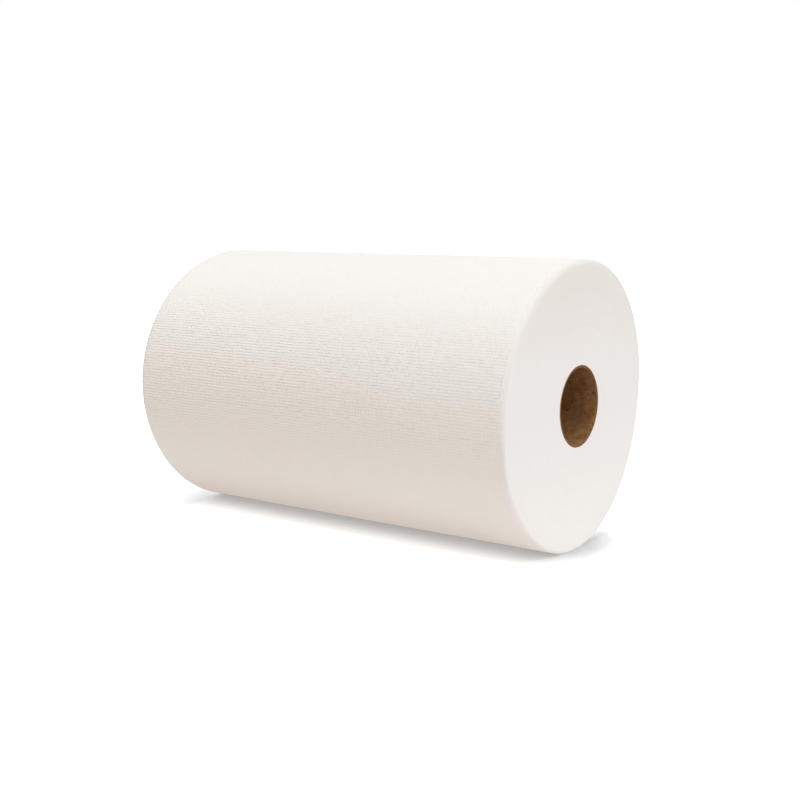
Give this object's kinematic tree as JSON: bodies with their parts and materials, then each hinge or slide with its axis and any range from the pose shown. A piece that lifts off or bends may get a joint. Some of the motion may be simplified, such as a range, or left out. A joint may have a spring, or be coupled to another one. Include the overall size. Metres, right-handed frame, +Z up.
{
  "type": "paper towel roll",
  "caption": "White embossed paper towel, wound into a soft-rimmed roll on a brown cardboard tube and lying on its side on a small flat spot.",
  "frame": {"origin": "middle of the core tube's bore, on the axis of the roll", "axes": "+X along the axis of the roll, towards the end that the picture shows; +Z up as the roll lies; +Y towards the back, where the sheet's free end is"},
  "size_m": [0.23, 0.1437, 0.1431],
  "materials": {
    "towel_paper": "soft matt, finely embossed",
    "brown_cardboard": "matt, unbleached"
  },
  "bodies": {
    "root": {"paper_roll": "towel_paper", "core_tube": "brown_cardboard"}
  },
  "joints": []
}
